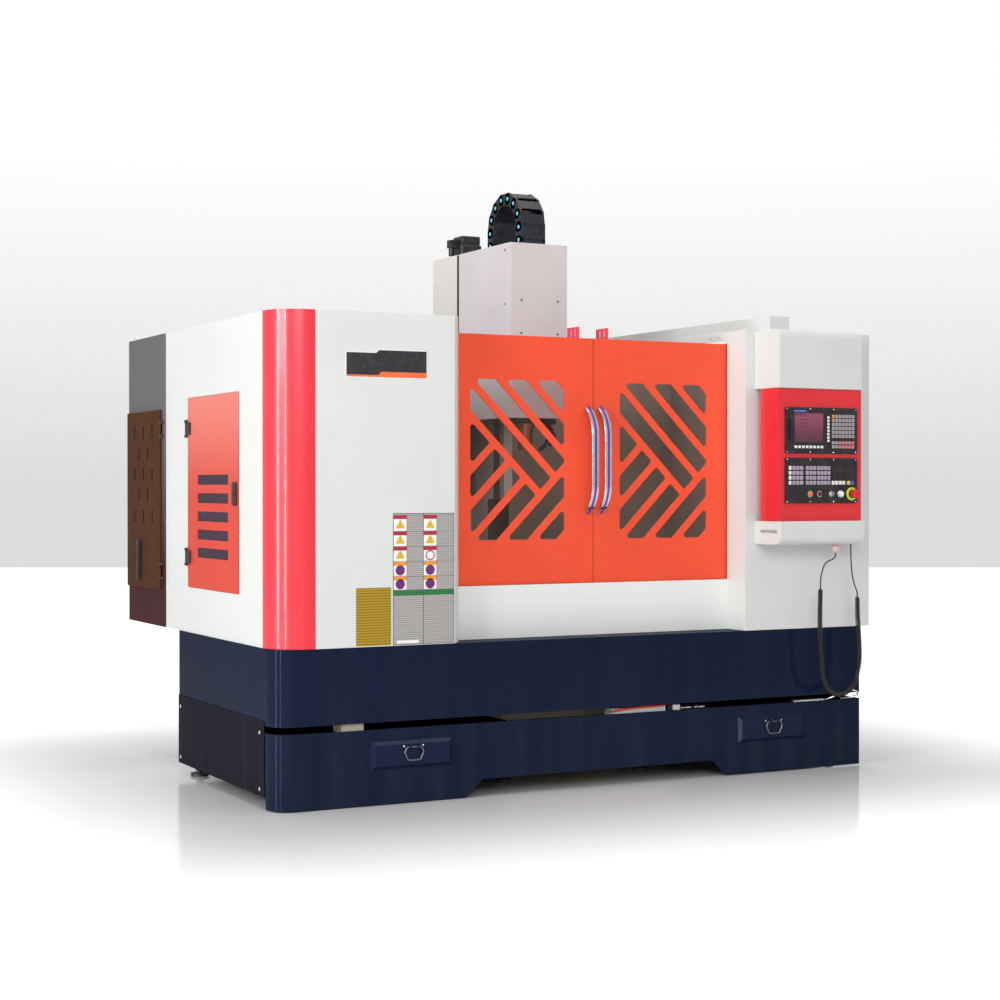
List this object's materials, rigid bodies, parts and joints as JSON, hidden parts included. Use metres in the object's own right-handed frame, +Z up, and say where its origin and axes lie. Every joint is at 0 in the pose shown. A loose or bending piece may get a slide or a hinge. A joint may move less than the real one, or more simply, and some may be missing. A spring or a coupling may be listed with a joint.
{
  "type": "cnc bed milling machine",
  "caption": "Enclosed bed milling machine: sliding doors with ribbed windows, moving table and head, drag chain, strainer drawers and a side pendant.",
  "frame": {"origin": "on the floor, under the middle of the machine's overall width and depth", "axes": "+Z up; +X along the machine's width, towards the pendant's end; +Y from the doors towards the column"},
  "size_m": [3, 2.22, 2.6988],
  "materials": {
    "zinc_steel": "zinc-plated steel",
    "navy_paint": "smooth satin paint",
    "casting_paint": "painted casting",
    "dark_casting": "dark painted casting",
    "liner_paint": "satin paint",
    "white_paint": "fine textured satin paint",
    "red_paint": "gloss paint",
    "charcoal_paint": "satin paint",
    "black_plastic": "matt",
    "screen": "dark display glass",
    "pale_keys": "membrane keys",
    "label_plate": "printed sheet",
    "pale_plastic": "moulded",
    "cord_rubber": "satin",
    "ground_steel": "ground steel",
    "chain_plastic": "moulded",
    "window": "clear polycarbonate",
    "chrome": "polished",
    "stop_red": "moulded",
    "start_orange": "moulded",
    "hold_red": "moulded"
  },
  "bodies": {
    "machine": {"levelling_feet": "zinc_steel", "coolant_tank": "navy_paint", "tank_fascia": "navy_paint", "tank_side_covers": "navy_paint", "base_skirt": "navy_paint", "machine_bed": "casting_paint", "column": "casting_paint", "chamber_liner": "liner_paint", "left_front_panel": "white_paint", "corner_column": "red_paint", "left_side_panel": "white_paint", "rear_panels": "white_paint", "right_front_panel": "white_paint", "right_side_panel": "white_paint", "sill_panel": "white_paint", "top_beam": "white_paint", "electrical_cabinet": "charcoal_paint", "cabinet_gear": "zinc_steel", "pendant_hood": "white_paint", "pendant_body": "red_paint", "pendant_shelf": "white_paint", "cnc_unit": "black_plastic", "cnc_screen": "screen", "operator_panel": "black_plastic", "panel_keys": "pale_keys", "front_plates": "label_plate", "z_motor": "black_plastic", "conduit": "zinc_steel", "cord_plug": "pale_plastic", "cord_leads": "cord_rubber", "cord_coil": "cord_rubber"},
    "saddle": {"saddle": "casting_paint"},
    "table": {"table": "ground_steel", "x_motor": "black_plastic"},
    "x_screw": {"x_screw": "ground_steel"},
    "y_screw": {"y_screw": "ground_steel"},
    "z_screw": {"z_screw": "ground_steel"},
    "head": {"head_casting": "dark_casting", "head_cover": "white_paint"},
    "spindle": {"spindle": "ground_steel"},
    "chain": {"chain_loop": "chain_plastic"},
    "left_door": {"left_door": "red_paint", "left_window": "window", "left_handle": "chrome"},
    "right_door": {"right_door": "red_paint", "right_window": "window", "right_handle": "chrome"},
    "side_door": {"side_door": "red_paint"},
    "side_latch": {"side_latch": "black_plastic"},
    "cabinet_door": {"cabinet_door": "charcoal_paint"},
    "cabinet_handle": {"cabinet_handle": "black_plastic"},
    "left_drawer": {"left_drawer": "navy_paint"},
    "left_pull": {"left_pull": "zinc_steel"},
    "right_drawer": {"right_drawer": "navy_paint"},
    "right_pull": {"right_pull": "zinc_steel"},
    "estop": {"estop_button": "stop_red"},
    "start_button": {"start_button": "start_orange"},
    "hold_button": {"hold_button": "hold_red"},
    "override_knob": {"override_knob": "pale_keys"},
    "key_switch": {"key_switch": "zinc_steel"}
  },
  "joints": [
    {"name": "saddle_slide", "type": "slide", "parent": "machine", "child": "saddle", "axis": [0, 1, 0], "range_m": [-0.18, 0.18]},
    {"name": "table_slide", "type": "slide", "parent": "saddle", "child": "table", "axis": [1, 0, 0], "range_m": [-0.45, 0.45]},
    {"name": "x_screw_turn", "type": "hinge", "parent": "table", "child": "x_screw", "pos_m": [0.087, -0.102, 0.9281], "axis": [1, 0, 0], "range_deg": [-16200, 16200]},
    {"name": "y_screw_turn", "type": "hinge", "parent": "machine", "child": "y_screw", "pos_m": [0.087, -0.102, 0.77], "axis": [0, 1, 0], "range_deg": [-6480, 6480]},
    {"name": "z_screw_turn", "type": "hinge", "parent": "machine", "child": "z_screw", "pos_m": [0.087, 0.513, 1.5], "axis": [0, 0, 1], "range_deg": [-12600, 5400]},
    {"name": "head_slide", "type": "slide", "parent": "machine", "child": "head", "axis": [0, 0, 1], "range_m": [-0.35, 0.15]},
    {"name": "spindle_turn", "type": "hinge", "parent": "head", "child": "spindle", "pos_m": [0.087, -0.102, 1.6], "axis": [0, 0, 1], "continuous": true},
    {"name": "chain_slide", "type": "slide", "parent": "machine", "child": "chain", "axis": [0, 0, 1], "range_m": [-0.175, 0.075]},
    {"name": "left_door_slide", "type": "slide", "parent": "machine", "child": "left_door", "axis": [-1, 0, 0], "range_m": [0, 0.645]},
    {"name": "right_door_slide", "type": "slide", "parent": "machine", "child": "right_door", "axis": [1, 0, 0], "range_m": [0, 0.6]},
    {"name": "side_door_hinge", "type": "hinge", "parent": "machine", "child": "side_door", "pos_m": [-1.47, 0.2095, 1.275], "axis": [0, 0, -1], "range_deg": [0, 100]},
    {"name": "side_latch_turn", "type": "hinge", "parent": "side_door", "child": "side_latch", "pos_m": [-1.471, -0.43, 1.272], "axis": [1, 0, 0], "range_deg": [0, 90]},
    {"name": "cabinet_door_hinge", "type": "hinge", "parent": "machine", "child": "cabinet_door", "pos_m": [-1.478, 0.573, 1.239], "axis": [0, 0, 1], "range_deg": [0, 100]},
    {"name": "cabinet_handle_turn", "type": "hinge", "parent": "cabinet_door", "child": "cabinet_handle", "pos_m": [-1.486, 0.864, 1.02], "axis": [1, 0, 0], "range_deg": [0, 90]},
    {"name": "left_drawer_slide", "type": "slide", "parent": "machine", "child": "left_drawer", "axis": [0, -1, 0], "range_m": [0, 0.4]},
    {"name": "left_pull_hinge", "type": "hinge", "parent": "left_drawer", "child": "left_pull", "pos_m": [-0.8655, -0.9073, 0.235], "axis": [-1, 0, 0], "range_deg": [0, 90]},
    {"name": "right_drawer_slide", "type": "slide", "parent": "machine", "child": "right_drawer", "axis": [0, -1, 0], "range_m": [0, 0.4]},
    {"name": "right_pull_hinge", "type": "hinge", "parent": "right_drawer", "child": "right_pull", "pos_m": [0.9395, -0.9073, 0.235], "axis": [-1, 0, 0], "range_deg": [0, 90]},
    {"name": "estop_press", "type": "slide", "parent": "machine", "child": "estop", "axis": [0, 1, 0], "range_m": [0, 0.005]},
    {"name": "start_press", "type": "slide", "parent": "machine", "child": "start_button", "axis": [0, 1, 0], "range_m": [0, 0.004], "stiffness_N_per_m": 400},
    {"name": "hold_press", "type": "slide", "parent": "machine", "child": "hold_button", "axis": [0, 1, 0], "range_m": [0, 0.004], "stiffness_N_per_m": 400},
    {"name": "override_turn", "type": "hinge", "parent": "machine", "child": "override_knob", "pos_m": [1.187, -1.073, 1.269], "axis": [0, -1, 0], "range_deg": [-135, 135]},
    {"name": "key_turn", "type": "hinge", "parent": "machine", "child": "key_switch", "pos_m": [1.136, -1.073, 1.269], "axis": [0, -1, 0], "range_deg": [0, 90]}
  ],
  "couplings": [
    {"joint": "x_screw_turn", "follows": "table_slide", "rad_per_m": 628.32},
    {"joint": "y_screw_turn", "follows": "saddle_slide", "rad_per_m": 628.32},
    {"joint": "z_screw_turn", "follows": "head_slide", "rad_per_m": 628.32},
    {"joint": "chain_slide", "follows": "head_slide", "ratio": 0.5}
  ]
}
